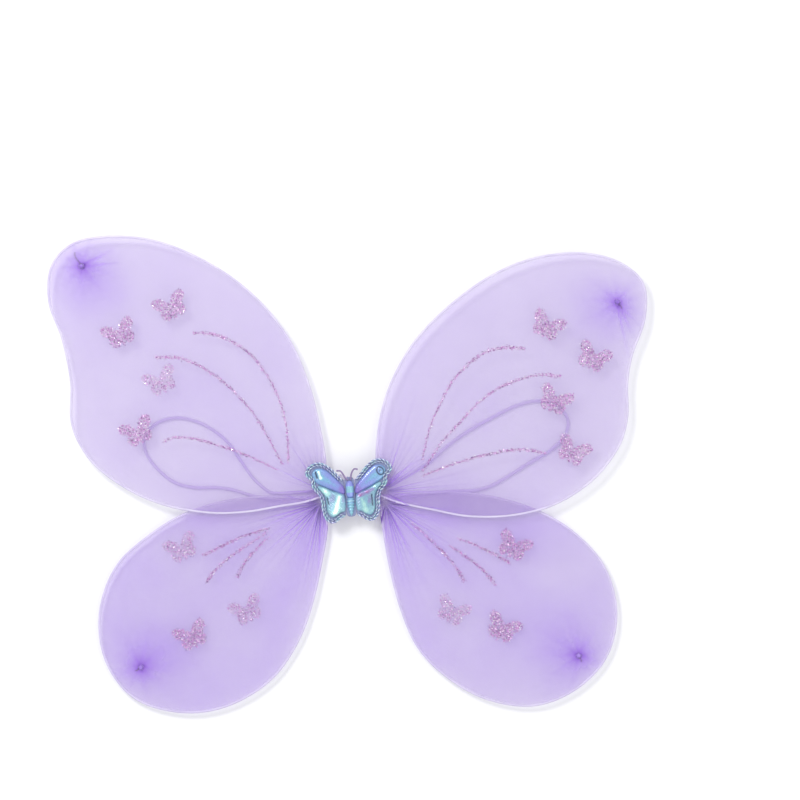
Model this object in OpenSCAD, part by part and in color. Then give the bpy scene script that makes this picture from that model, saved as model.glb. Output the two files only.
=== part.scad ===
// Child's fairy wings, lying front side up: four wire hoops inside nylon mesh sleeves, a bound hub
// with a felt pad and two elastic arm loops, and a padded butterfly applique in front of the hub.
// The origin is the centre of the felt pad's underside, +Y is up the wearer's back, +Z is the front.

/* [Wire and mesh] */
// Diameter of the hoop wire
wire_d = 1.6; // [1.2:0.1:1.6]
// Thickness of one layer of stretched mesh
mesh_t = 0.28; // [0.2:0.02:0.28]

/* [Levels] */
// Height of the lower wings' middle plane
lower_z = 6.4; // [6.2:0.1:6.6]
// Height of the upper wings' middle plane
upper_z = 9.9; // [9.7:0.1:10.1]

/* [Hub] */
// Distance from the centre to each fold line
fold_x = 16; // [15:0.5:17]
// Thickness of the felt back pad
pad_t = 1.6; // [1:0.1:1.6]
// Radius of the back pad's rounded lobes
pad_r = 13; // [11:0.5:14]
// Half length of the ribbon binding
binding_half = 12.4; // [10:0.2:12.6]

/* [Ties] */
// Wall of the thread ties at the wing roots
tie_wall = 0.55; // [0.3:0.05:0.55]
// Diameter of the small gathered tuft at each wing tip
tuft_d = 2.8; // [2:0.2:4]

/* [Arm loops] */
// Diameter of the round elastic
elastic_d = 2.6; // [2:0.2:2.6]

/* [Glitter] */
// Thickness of the dried glitter glue
glitter_t = 0.35; // [0.2:0.05:0.4]
// Width of a glitter vein at its outer end
vein_w = 2.4; // [1.5:0.1:3]

/* [Butterfly applique] */
// Height of the applique's underside
patch_z = 13.2; // [13.1:0.1:14]
// Thickness of the applique's backing
backing_t = 1; // [0.6:0.1:1.2]
// Height of the puffed panels over the backing
puff_h = 2.3; // [1.5:0.1:2.3]
// Diameter of the outer edging rope
rope_d = 1.8; // [1.2:0.1:1.8]
// Diameter of the inner edging rope
inner_rope_d = 1.4; // [1:0.1:1.4]
// How far the applique is turned on the hub, in degrees
patch_turn = 4; // [-6:1:6]

/* [Hidden] */

wire_r = wire_d / 2;
// Play between the wire and the mesh around it
wire_play = 0.02;
sleeve_in = wire_r + wire_play;
sleeve_out = sleeve_in + mesh_t;
// The hoop's two stems lie side by side, this far from their common centre line
stem_gap = 0.9;
// Middle line of the upper and of the lower stems, from the centre
stem_y = 3;
stem_low = stem_y - stem_gap;
stem_high = stem_y + stem_gap;
// The stems end just outside the fold line
stem_x = fold_x + 0.6;
hub_z = (lower_z + upper_z) / 2;
binding_z = 3.6;
binding_y = 7;
binding_wall = 0.7;
binding_corner = 2.4;
twist_r = 0.85;
twist_pitch = 9;
twist_steps = 36;
tube_sides = 8;
steps = 3;
tie_w = 2.2;
tie_play = 0.05;
tie_corner = 0.8;
tie_x = fold_x + 2.3;
tuft_h = 1.5;
thread_r = 0.4;
glue_half_x = 11.5;
patch_x = -1.5;
patch_y = 3.9;
// The applique's wing halves start this far from its middle line
half_start = 4.2;
spine_half = 3.8;
backing_top = patch_z + backing_t;
// Outline of the backing, inside the silhouette that the edging rope makes
backing_inset = 1;
spine_top = 12;
spine_bottom = -19;
antenna_w = 1.2;
antenna_t = 0.9;
body_flat = 20;

// Wire centre lines, from stem end to stem end
upper_left_route = [
    [-stem_x, stem_low], [-19.6, stem_low], [-25, 0], [-38, -4], [-56, -7], [-84, -11.6],
    [-113, -12], [-146, -6], [-176, 7], [-203, 28], [-218, 56], [-219, 90], [-226, 124], [-236, 152],
    [-234, 180], [-216, 198], [-184, 203], [-148, 198], [-108, 180], [-76, 156], [-50, 124],
    [-34, 88], [-25, 52], [-21, 28], [-21.6, 14], [-21.6, 6.4], [-19.6, stem_high],
    [-stem_x, stem_high]
];
upper_right_route = [
    [stem_x, stem_high], [19.6, stem_high], [21.4, 6.6], [20.4, 16], [19.2, 34], [22.8, 64],
    [32, 92], [49, 121], [75, 148], [108, 172], [142, 186], [178, 190], [208, 183], [227, 166],
    [228, 139], [218, 110],
    [214.5, 88], [214.5, 62], [207, 38], [187, 13], [158, -5.5], [126, -14], [92, -15], [62, -9.6],
    [38, -4.6], [26, -0.4], [19.6, stem_low], [stem_x, stem_low]
];
lower_left_route = [
    [-stem_x, -stem_low], [-19.6, -stem_low], [-27, -1.4], [-40, -0.6], [-60, 0.4], [-84, -1], [-110, -6],
    [-136, -16], [-162, -33], [-183, -53], [-195, -80], [-197, -108], [-189, -135], [-170, -157],
    [-142, -167], [-112, -167], [-84, -157], [-60, -139], [-42, -112], [-31, -82], [-24, -50],
    [-20, -26], [-20.6, -12], [-21.4, -6.6], [-19.6, -stem_high], [-stem_x, -stem_high]
];
lower_right_route = [
    [stem_x, -stem_high], [19.6, -stem_high], [22, -7], [22.8, -14], [24.6, -26], [30, -56],
    [38.5, -88], [52, -118], [76, -142], [106, -158], [140, -163], [170, -153], [194, -132],
    [205, -106], [205, -78], [194, -50],
    [172, -27], [146, -11.5], [118, -2], [90, 3], [64, 3.6], [42, 2], [28, -0.6], [19.6, -stem_low],
    [stem_x, -stem_low]
];

// Elastic arm loops, from the hub round and back to the hub
left_loop_route = [
    [-7, 5.2, 2.95], [-16, 5.2, 2.95], [-24, 5, 2.95], [-34, 4.2, 1.8], [-46, 3.2, 1.3], [-58, 2.4, 1.3],
    [-67, 5, 1.3], [-78, 15, 1.3], [-88, 29, 1.3], [-98, 43, 1.3], [-112, 54, 1.3], [-126, 60, 1.3],
    [-140, 61.5, 1.3], [-154, 57, 1.3], [-163, 46, 1.3], [-161, 33, 1.3], [-151, 20, 1.3],
    [-138, 10.5, 1.3], [-122, 7, 1.3], [-106, 7, 1.3], [-92, 4.8, 1.3], [-78, 0.6, 1.3],
    [-64, -2.6, 1.3], [-50, -2, 1.3], [-37, -0.4, 1.6], [-26, 0.8, 2.9], [-16, 1.2, 2.95], [-7, 1.2, 2.95]
];
right_loop_route = [
    [7, 5.2, 2.95], [16, 5.6, 2.95], [25, 8, 2.95], [36, 13, 1.7], [48, 19.5, 1.3], [60, 27, 1.3],
    [75, 40, 1.3], [92, 52, 1.3], [110, 62, 1.3], [128, 71, 1.3], [145, 75, 1.3], [160, 72, 1.3],
    [169, 60, 1.3], [166, 47, 1.3], [155, 36, 1.3], [140, 27, 1.3], [124, 17, 1.3], [109, 8.5, 1.3],
    [95, 4.8, 1.3], [81, 4.4, 1.3], [66, 3, 1.3], [52, 1.4, 1.3], [39, 0.6, 1.6], [27, 0.8, 2.9],
    [16, 1.2, 2.95], [7, 1.2, 2.95]
];

// Glitter veins, from the outer end towards the root
upper_left_vein_routes = [
    [[-124, 128], [-108, 127], [-91, 120], [-78, 110], [-67, 96], [-58, 79], [-52, 60], [-50, 41], [-50, 26]],
    [[-154, 109], [-138, 109], [-122, 104], [-103, 92], [-87, 77], [-74, 61], [-63, 42], [-54, 25]],
    [[-147, 43], [-139, 46.5], [-123, 45.5], [-107, 41], [-91, 36], [-76, 30], [-58, 21]]
];
upper_right_vein_routes = [
    [[135, 116], [119, 116.5], [104, 113], [90, 103], [78, 90], [70, 75], [63, 60], [58, 44], [55, 29]],
    [[163, 94], [147, 95.5], [131, 92], [114, 85], [98, 73], [83, 57], [71, 44], [62, 31], [55, 20]],
    [[151, 34], [135, 37], [117, 35.5], [98, 31.5], [80, 26], [65, 20.5], [54, 16]]
];
lower_left_vein_routes = [
    [[-117, -46], [-98, -36.5], [-83, -30], [-64, -24]],
    [[-114, -67], [-105, -55], [-94, -46], [-80, -36.5], [-67, -28]],
    [[-90, -63], [-85, -53], [-78, -44], [-65, -31]]
];
lower_right_vein_routes = [
    [[123.5, -52], [110, -44], [95, -37], [82, -32]],
    [[112, -69], [103, -58], [88, -46], [76, -38]],
    [[88, -66], [79, -52.5], [67, -39], [56, -28.5], [46, -20.5]]
];

// Glitter butterflies: centre of each
upper_left_spots = [[-141, 148], [-181, 127], [-149, 90], [-167, 50.5]];
upper_right_spots = [[152, 133], [188, 108.5], [158, 75], [172, 35.5]];
lower_left_spots = [[-133, -40.5], [-125, -109], [-82, -89]];
lower_right_spots = [[126, -39], [117.5, -103], [78, -90]];
spot_turn = 25;
// Right half of the glitter butterfly's outline, from the head down
spot_half = [
    [0, 3.2], [1.4, 4.6], [6, 9.4], [11, 10.6], [13.4, 8], [12.4, 3.4], [9, 0.4], [10, -3.4], [8.4, -7.6],
    [5, -9], [2, -6.6], [0, -9.6]
];

// Applique: right half of the silhouette, from the middle's top to its bottom
half_route = [
    [5, 10.6], [8.5, 14.5], [14, 20.4], [20, 24.4], [26, 24.8], [31.6, 21.8], [34, 17], [32.4, 13.2],
    [29.8, 10.6], [29.8, 7], [27.8, 3], [24.6, -1], [23.2, -6], [22.9, -12], [21.6, -18], [18.6, -22],
    [15, -23.4], [11, -22.2], [7.8, -19.8], [5, -18.7]
];
upper_puff_route = [
    [5.2, -0.4], [13, 3], [21, 7], [25, 9.4], [27, 12.8], [28, 16], [25.6, 19], [21, 19.2], [16.5, 16.6],
    [11.5, 11.6], [7, 6.6], [5.2, 4]
];
lower_puff_route = [
    [5.2, -2.6], [5.2, -13], [8.4, -14.6], [11.6, -16.8], [14.6, -18], [16.8, -16], [18.2, -12.4],
    [18.4, -7], [19.2, -2], [21.8, 2.2], [24, 5], [22.6, 5.8], [13, 1]
];
left_antenna_route = [[-1.3, 9.6], [-3.2, 11.8], [-4.6, 14.6], [-6.4, 17], [-9.4, 17.4]];
right_antenna_route = [[1.1, 9.6], [1.5, 12.2], [2.6, 15.6], [4.6, 17.9], [7.2, 17.4]];
thorax_profile = [[0, 9.2], [1.5, 8.8], [2.7, 7], [3.2, 4], [3.1, 0], [2.6, -3], [1.9, -4.1], [0, -4.1]];

function blend(a, b, c, d, t) =
    0.5 * (2 * b + (c - a) * t + (2 * a - 5 * b + 4 * c - d) * t * t + (3 * b - a - 3 * c + d) * t * t * t);

// A smooth line through the points of p, with n steps between neighbours
function smooth(p, n) = concat(
    [for (i = [0 : len(p) - 2], k = [0 : n - 1])
        blend(p[max(i - 1, 0)], p[i], p[i + 1], p[min(i + 2, len(p) - 1)], k / n)],
    [p[len(p) - 1]]
);

// The same for a closed outline
function smooth_ring(p, n) = [
    for (i = [0 : len(p) - 1], k = [0 : n - 1])
        blend(p[(i + len(p) - 1) % len(p)], p[i], p[(i + 1) % len(p)], p[(i + 2) % len(p)], k / n)
];

function along(p, i) =
    let (d = p[min(i + 1, len(p) - 1)] - p[max(i - 1, 0)]) d / norm(d);
function left_of(t) = let (flat = norm([t[0], t[1]])) [-t[1] / flat, t[0] / flat];
// The line p moved sideways: d(i) to the left at its point i
function beside(p, d) = [for (i = [0 : len(p) - 1]) p[i] + d * left_of(along(p, i))];
function widening(p, start_w, end_w, s) = [
    for (i = [0 : len(p) - 1])
        p[i] + s * (start_w + (end_w - start_w) * i / (len(p) - 1)) / 2 * left_of(along(p, i))
];
function reversed(p) = [for (i = [len(p) - 1 : -1 : 0]) p[i]];
function at_height(p, z) = [for (q = p) [q[0], q[1], z]];
// The line with both ends carried on by d
function longer(p, d) =
    let (n = len(p) - 1) concat([p[0] - d * along(p, 0)], p, [p[n] + d * along(p, n)]);
function mirrored(p) = [for (q = p) [-q[0], q[1]]];
function centre_of(p) = [for (k = [0, 1]) [for (q = p) q[k]] * [for (q = p) 1] / len(p)];

// A round tube along the points of p
module tube(p, r) {
    rings = [for (i = [0 : len(p) - 1])
        let (t = along(p, i), side = left_of(t), n = [side[0], side[1], 0], b = cross(t, n))
            for (k = [0 : tube_sides - 1])
                let (a = 360 * k / tube_sides) p[i] + r * cos(a) * n + r * sin(a) * b];
    last = (len(p) - 1) * tube_sides;
    sides = [for (i = [0 : len(p) - 2], k = [0 : tube_sides - 1])
        let (m = (k + 1) % tube_sides, a = i * tube_sides, b = a + tube_sides)
            each [[a + k, b + k, b + m], [a + k, b + m, a + m]]];
    polyhedron(rings, concat(
        [[for (k = [0 : tube_sides - 1]) k]],
        [[for (k = [tube_sides - 1 : -1 : 0]) last + k]],
        sides
    ));
}

// A crowned pad on a closed outline, flat underneath
module puff(route, z, h) {
    outline = smooth_ring(route, steps);
    n = len(outline);
    mid = centre_of(outline);
    levels = [[1, 0], [1, 0.35], [0.9, 0.72], [0.68, 0.94], [0.36, 1]];
    points = [for (l = levels) each [for (q = outline)
        let (flat = mid + l[0] * (q - mid)) [flat[0], flat[1], z + h * l[1]]]];
    top = len(levels) - 1;
    walls = [for (i = [0 : top - 1], k = [0 : n - 1])
        let (m = (k + 1) % n, a = i * n, b = a + n) each [[a + k, b + k, b + m], [a + k, b + m, a + m]]];
    polyhedron(points, concat(
        [[for (k = [0 : n - 1]) k]],
        [[for (k = [n - 1 : -1 : 0]) top * n + k]],
        walls
    ));
}

module slab(z, h) {
    translate([0, 0, z]) linear_extrude(h) children();
}

module on_patch() {
    translate([patch_x, patch_y, 0]) rotate(patch_turn) children();
}

module along_x(from, to) {
    translate([from, 0, 0]) rotate([90, 0, 90]) linear_extrude(to - from) children();
}

// A rectangle of half width w and half height h with corners of radius r
module rounded_box(w, h, r) {
    flat_w = w - r;
    flat_h = h - r;
    polygon([for (c = [[1, 1, 0], [-1, 1, 90], [-1, -1, 180], [1, -1, 270]], a = [0 : 15 : 90])
        [c[0] * flat_w + r * cos(c[2] + a), c[1] * flat_h + r * sin(c[2] + a)]]);
}

// --- the wings ---

module hoop(route, z) {
    color("gainsboro") tube(at_height(smooth(route, steps), z), wire_r);
}

// Both layers of the stocking round a hoop. out is 1 where the outside is on the route's left
module mesh_sleeve(route, z, out) {
    line = smooth(route, steps);
    color("plum", 0.6) difference() {
        slab(z - sleeve_out, 2 * sleeve_out) polygon(beside(line, out * sleeve_out));
        slab(z - sleeve_in, 2 * sleeve_in) polygon(beside(longer(line, 1), out * sleeve_in));
    }
}

// side is 1 for the right wing and -1 for the left one
module root_tie(side, y, z) {
    w = stem_gap + sleeve_out + tie_play;
    h = sleeve_out + tie_play;
    from = side * tie_x - tie_w / 2;
    color("mediumpurple") translate([0, y, z]) along_x(from, from + tie_w) difference() {
        rounded_box(w + tie_wall, h + tie_wall, tie_corner);
        rounded_box(w, h, tie_play);
    }
}

module tip_tie(x, y, z) {
    color("mediumpurple") translate([x, y, z + sleeve_out]) {
        cylinder(h = tuft_h, d = tuft_d, $fn = 32);
        translate([0, 0, tuft_h / 2])
            rotate_extrude($fn = 32) translate([tuft_d / 2, 0]) circle(r = thread_r, $fn = 16);
    }
}

module veins(routes, z) {
    color("orchid") slab(z + sleeve_out, glitter_t) for (route = routes) {
        line = smooth(route, steps);
        polygon(concat(
            widening(line, vein_w, vein_w / 2, 1),
            reversed(widening(line, vein_w, vein_w / 2, -1))
        ));
    }
}

module butterflies(spots, turn, z) {
    left = mirrored(reversed(spot_half));
    whole = concat(spot_half, [for (i = [1 : len(left) - 2]) left[i]]);
    color("orchid") slab(z + sleeve_out, glitter_t) for (p = spots) translate(p) rotate(turn)
        polygon(smooth_ring(whole, steps));
}

// --- the hub ---

module back_pad() {
    color("white") slab(0, pad_t) union() {
        for (x = [-11, 11]) translate([x, 5]) circle(r = pad_r, $fn = 96);
        translate([0, -1]) circle(r = pad_r, $fn = 96);
    }
}

module rear_glue() {
    color("ivory") slab(pad_t, hub_z - binding_z - pad_t) translate([0, 3])
        rounded_box(glue_half_x, binding_y - 2, 3);
}

module ribbon_binding() {
    color("mediumpurple") translate([0, 0, hub_z]) along_x(-binding_half, binding_half) difference() {
        rounded_box(binding_y, binding_z, binding_corner);
        rounded_box(binding_y - binding_wall, binding_z - binding_wall, binding_corner - binding_wall);
    }
}

// Two wires twisted round each other along X
module wire_twist(y) {
    color("silver") for (start = [0, 180])
        tube([for (i = [0 : twist_steps])
            let (x = binding_half * (2 * i / twist_steps - 1), a = start + 360 * x / twist_pitch)
                [x, y + twist_r * cos(a), hub_z + twist_r * sin(a)]], wire_r);
}

module front_glue() {
    color("ivory") on_patch() slab(hub_z + binding_z, patch_z - hub_z - binding_z) translate([0, -3.5])
        rounded_box(spine_half - 0.4, 6, 2);
}

module arm_loop(route) {
    color("thistle") tube(smooth(route, steps), elastic_d / 2);
}

// --- the applique ---

module patch_half(side) {
    on_patch() mirror([side < 0 ? 1 : 0, 0, 0]) children();
}

module half_backing(side) {
    edge = beside(smooth(half_route, steps), -backing_inset);
    color("lightsteelblue") patch_half(side) slab(patch_z, backing_t) polygon(concat(
        [[half_start, edge[0][1]]], edge, [[half_start, edge[len(edge) - 1][1]]]
    ));
}

module half_edging(side) {
    line = smooth(half_route, 2);
    outer = beside(line, -rope_d / 2);
    inner = beside(line, -rope_d - inner_rope_d / 2 - 0.1);
    color("paleturquoise") patch_half(side) {
        tube(at_height(outer, backing_top + rope_d / 2), rope_d / 2);
        tube(at_height(inner, backing_top + inner_rope_d / 2), inner_rope_d / 2);
    }
}

module half_puff(side, route) {
    color("cornflowerblue") patch_half(side) puff(route, backing_top, puff_h);
}

module spine_backing() {
    color("lightsteelblue") on_patch() slab(patch_z, backing_t)
        translate([0, (spine_top + spine_bottom) / 2])
            rounded_box(spine_half, (spine_top - spine_bottom) / 2, 3);
}

// A body segment turned about the applique's middle line, cut flat where it meets the backing
module body_segment(profile) {
    on_patch() translate([0, 0, backing_top]) intersection() {
        rotate([-90, 0, 0]) rotate_extrude($fn = 40) polygon([for (q = profile) [q[0], q[1]]]);
        translate([-body_flat, -2 * body_flat, 0]) cube([2 * body_flat, 4 * body_flat, body_flat]);
    }
}

module patch_thorax() {
    color("cornflowerblue") body_segment(thorax_profile);
}

module patch_abdomen() {
    ribs = 6;
    from = -4.4;
    long = 14;
    color("mediumaquamarine") body_segment(concat(
        [[0, from]],
        [for (i = [0 : ribs - 1], k = [0, 1])
            let (t = (i + 0.15 + 0.7 * k) / ribs, r = 3.3 * sqrt(1 - pow(t, 2.2)))
                each [[r * (k == 0 ? 0.9 : 1), from - long * t], [r, from - long * (t + 0.02)]]],
        [[0, from - long * 1.04]]
    ));
}

module patch_antennae() {
    color("mediumpurple") on_patch() slab(backing_top, antenna_t)
        for (route = [left_antenna_route, right_antenna_route]) {
            line = smooth(route, steps);
            polygon(concat(
                widening(line, antenna_w, antenna_w, 1),
                reversed(widening(line, antenna_w, antenna_w, -1))
            ));
        }
}

back_pad();
rear_glue();
ribbon_binding();
wire_twist(stem_y);  // upper_wire_twist
wire_twist(-stem_y);  // lower_wire_twist
front_glue();
arm_loop(left_loop_route);  // left_arm_loop
arm_loop(right_loop_route);  // right_arm_loop
hoop(upper_left_route, upper_z);  // upper_left_hoop
mesh_sleeve(upper_left_route, upper_z, 1);  // upper_left_mesh
root_tie(-1, stem_y, upper_z);  // upper_left_root_tie
tip_tie(-211, 180, upper_z);  // upper_left_tip_tie
veins(upper_left_vein_routes, upper_z);  // upper_left_veins
butterflies(upper_left_spots, spot_turn, upper_z);  // upper_left_butterflies
hoop(upper_right_route, upper_z);  // upper_right_hoop
mesh_sleeve(upper_right_route, upper_z, 1);  // upper_right_mesh
root_tie(1, stem_y, upper_z);  // upper_right_root_tie
tip_tie(207, 152, upper_z);  // upper_right_tip_tie
veins(upper_right_vein_routes, upper_z);  // upper_right_veins
butterflies(upper_right_spots, -spot_turn, upper_z);  // upper_right_butterflies
hoop(lower_left_route, lower_z);  // lower_left_hoop
mesh_sleeve(lower_left_route, lower_z, -1);  // lower_left_mesh
root_tie(-1, -stem_y, lower_z);  // lower_left_root_tie
tip_tie(-165, -133, lower_z);  // lower_left_tip_tie
veins(lower_left_vein_routes, lower_z);  // lower_left_veins
butterflies(lower_left_spots, spot_turn, lower_z);  // lower_left_butterflies
hoop(lower_right_route, lower_z);  // lower_right_hoop
mesh_sleeve(lower_right_route, lower_z, -1);  // lower_right_mesh
root_tie(1, -stem_y, lower_z);  // lower_right_root_tie
tip_tie(177, -124, lower_z);  // lower_right_tip_tie
veins(lower_right_vein_routes, lower_z);  // lower_right_veins
butterflies(lower_right_spots, -spot_turn, lower_z);  // lower_right_butterflies
spine_backing();  // patch_spine_backing
patch_thorax();
patch_abdomen();
patch_antennae();
half_backing(-1);  // patch_left_backing
half_edging(-1);  // patch_left_edging
half_puff(-1, upper_puff_route);  // patch_left_upper_puff
half_puff(-1, lower_puff_route);  // patch_left_lower_puff
half_backing(1);  // patch_right_backing
half_edging(1);  // patch_right_edging
half_puff(1, upper_puff_route);  // patch_right_upper_puff
half_puff(1, lower_puff_route);  // patch_right_lower_puff
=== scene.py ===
import math

import bmesh
import bpy
import numpy as np
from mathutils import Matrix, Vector
from mathutils.kdtree import KDTree


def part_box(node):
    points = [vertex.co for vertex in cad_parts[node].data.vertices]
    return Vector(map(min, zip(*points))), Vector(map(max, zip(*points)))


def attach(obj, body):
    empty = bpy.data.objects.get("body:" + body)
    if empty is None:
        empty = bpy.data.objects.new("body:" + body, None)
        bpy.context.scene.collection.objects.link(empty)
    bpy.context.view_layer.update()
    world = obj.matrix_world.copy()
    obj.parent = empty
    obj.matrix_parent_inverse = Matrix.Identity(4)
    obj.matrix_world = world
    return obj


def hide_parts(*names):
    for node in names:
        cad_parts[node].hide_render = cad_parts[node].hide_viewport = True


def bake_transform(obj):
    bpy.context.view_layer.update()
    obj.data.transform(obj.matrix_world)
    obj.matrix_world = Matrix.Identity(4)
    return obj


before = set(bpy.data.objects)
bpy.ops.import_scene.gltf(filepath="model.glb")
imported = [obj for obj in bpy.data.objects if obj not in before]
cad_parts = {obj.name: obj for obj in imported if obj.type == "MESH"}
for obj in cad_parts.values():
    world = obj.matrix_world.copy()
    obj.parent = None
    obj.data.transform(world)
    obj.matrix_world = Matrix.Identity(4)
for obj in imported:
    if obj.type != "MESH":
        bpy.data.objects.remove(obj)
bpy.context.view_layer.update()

MM = 0.001
WINGS = ["upper_left", "upper_right", "lower_left", "lower_right"]


# --- reading the frame ---

def mid_z(node):
    lo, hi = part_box(node)
    return (lo.z + hi.z) / 2


def side_name(side):
    return "left" if side < 0 else "right"


def cad_mesh(node):
    """The node's points, and its triangles as corner indices, with doubled points joined."""
    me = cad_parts[node].data
    me.calc_loop_triangles()
    co = np.array([v.co for v in me.vertices], float)
    tri = np.array([t.vertices for t in me.loop_triangles], int)
    _, first, same = np.unique(np.round(co, 7), axis=0, return_index=True, return_inverse=True)
    return co[first], same.reshape(-1)[tri]


def face_loops(node, top=True):
    """The outlines of a node's flat top or bottom, longest first, and that face's triangles."""
    co, tri = cad_mesh(node)
    level = co[:, 2].max() if top else co[:, 2].min()
    flat = tri[(np.abs(co[tri][:, :, 2] - level) < 2e-6).all(1)]
    edges = {}
    for t in flat:
        for a, b in ((t[0], t[1]), (t[1], t[2]), (t[2], t[0])):
            edges[(a, b)] = True
    border = {a: b for a, b in edges if (b, a) not in edges}
    loops = []
    while border:
        start, at = next(iter(border.items()))
        del border[start]
        loop = [start]
        while at in border:
            loop.append(at)
            at = border.pop(at)
        loops.append(co[loop])
    loops.sort(key=lambda p: -np.linalg.norm(np.diff(p, axis=0), axis=1).sum())
    return loops, co[flat]


# --- lines and meshes ---

def catmull(p, per, closed=False):
    """A smooth line through the points of p, with per steps between neighbours."""
    p = np.asarray(p, float)
    n = len(p)
    out = []
    t = np.linspace(0, 1, per, endpoint=False)[:, None]
    for i in range(n if closed else n - 1):
        if closed:
            a, b, c, d = p[i - 1], p[i], p[(i + 1) % n], p[(i + 2) % n]
        else:
            a, b, c, d = p[max(i - 1, 0)], p[i], p[i + 1], p[min(i + 2, n - 1)]
        out.append(0.5 * (2 * b + (c - a) * t + (2 * a - 5 * b + 4 * c - d) * t**2
                          + (3 * b - a - 3 * c + d) * t**3))
    out = np.concatenate(out)
    return out if closed else np.vstack([out, p[-1]])


def spaced(line, n, closed=False):
    """n points evenly spaced along a line."""
    line = np.vstack([line, line[:1]]) if closed else line
    run = np.concatenate([[0], np.cumsum(np.linalg.norm(np.diff(line, axis=0), axis=1))])
    at = np.linspace(0, run[-1], n, endpoint=not closed)
    return np.stack([np.interp(at, run, line[:, k]) for k in range(line.shape[1])], axis=1)


def length_of(line):
    return float(np.linalg.norm(np.diff(line, axis=0), axis=1).sum())


def tangents(line, closed=False):
    if closed:
        d = np.roll(line, -1, axis=0) - np.roll(line, 1, axis=0)
    else:
        d = np.gradient(line, axis=0)
    return d / np.maximum(np.linalg.norm(d, axis=1, keepdims=True), 1e-12)


def moved_left(line, distance, closed=False):
    """The line shifted sideways, to the left of the way it runs."""
    t = tangents(line[:, :2], closed)
    out = line.copy()
    out[:, :2] += np.asarray(distance).reshape(-1, 1) * np.stack([-t[:, 1], t[:, 0]], axis=1)
    return out


def runs_left(outline):
    """1 for a closed outline that turns anticlockwise, and -1 for one that turns clockwise."""
    x, y = outline[:, 0], outline[:, 1]
    return 1.0 if np.sum(x * np.roll(y, -1) - y * np.roll(x, -1)) > 0 else -1.0


def bell(x, width):
    """1 where x is 0, falling smoothly to nearly 0 two widths away."""
    return np.exp(-(x / width) ** 2)


def grid_faces(rows, columns, wrap=False):
    """Quads of a grid of points that is stored row by row. wrap closes each row on itself."""
    i, j = np.meshgrid(np.arange(rows - 1), np.arange(columns if wrap else columns - 1), indexing="ij")
    k = (j + 1) % columns
    a, b = i * columns, (i + 1) * columns
    return np.stack([a + j, a + k, b + k, b + j], axis=-1).reshape(-1, 4)


def mesh_object(name, points, faces, material, smooth=True, floats=None):
    me = bpy.data.meshes.new(name)
    me.from_pydata(np.asarray(points, float).tolist(), [], [list(map(int, f)) for f in faces])
    me.update()
    for key, values in (floats or {}).items():
        me.attributes.new(key, "FLOAT", "POINT").data.foreach_set("value", np.asarray(values, np.float32))
    if smooth:
        me.shade_smooth()
    obj = bpy.data.objects.new(name, me)
    bpy.context.scene.collection.objects.link(obj)
    me.materials.append(material)
    return obj


def frames(line):
    """Two unit normals at each point: one lying flat, one at right angles to it."""
    t = tangents(line)
    flat = np.stack([-t[:, 1], t[:, 0], np.zeros(len(t))], axis=1)
    flat /= np.maximum(np.linalg.norm(flat, axis=1, keepdims=True), 1e-9)
    return flat, np.cross(t, flat)


def full_turn(sides):
    return np.linspace(0, 2 * math.pi, sides, endpoint=False)


def tube_points(line, radius, sides):
    """Rings of a tube on a line that lies nearly flat. radius is a number, or one per ring and side."""
    n, b = frames(line)
    a = full_turn(sides)[None, :, None]
    r = np.broadcast_to(radius, (len(line), sides))[:, :, None]
    return (line[:, None, :] + r * np.cos(a) * n[:, None, :] + r * np.sin(a) * b[:, None, :]).reshape(-1, 3)


def free_tube_points(line, radius, sides):
    """Rings of a tube on a line that may turn any way, carried along without twisting."""
    t = tangents(line)
    n = np.cross(t[0], [0.31, 0.17, 0.93])
    n /= np.linalg.norm(n)
    a = full_turn(sides)[:, None]
    rings = []
    for p, d, r in zip(line, t, np.broadcast_to(radius, len(line))):
        n = n - d * np.dot(n, d)
        n /= np.linalg.norm(n)
        rings.append(p + r * (np.cos(a) * n + np.sin(a) * np.cross(d, n)))
    return np.vstack(rings)


def tube_faces(rings, sides):
    """Quads of a tube, and its two end caps."""
    faces = [list(f) for f in grid_faces(rings, sides, wrap=True)[:, ::-1]]
    last = (rings - 1) * sides
    return faces + [list(range(sides)), [last + k for k in range(sides - 1, -1, -1)]]


def free_tube(line, radius, sides):
    return free_tube_points(line, radius, sides), tube_faces(len(line), sides)


def flipped(faces):
    return [f[::-1] for f in faces]


def joined(name, parts, material):
    """One object from several (points, faces)."""
    points, faces, first = [], [], 0
    for p, f in parts:
        points.append(p)
        faces += [[first + v for v in g] for g in f]
        first += len(p)
    return mesh_object(name, np.vstack(points), faces, material)


def place(piece, body, slot, *nodes):
    """Hangs a piece on its body and hides the CAD nodes that it stands for. The slot is not used."""
    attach(piece, body)
    if nodes:
        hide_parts(*nodes)
    return piece


# --- materials ---

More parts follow.
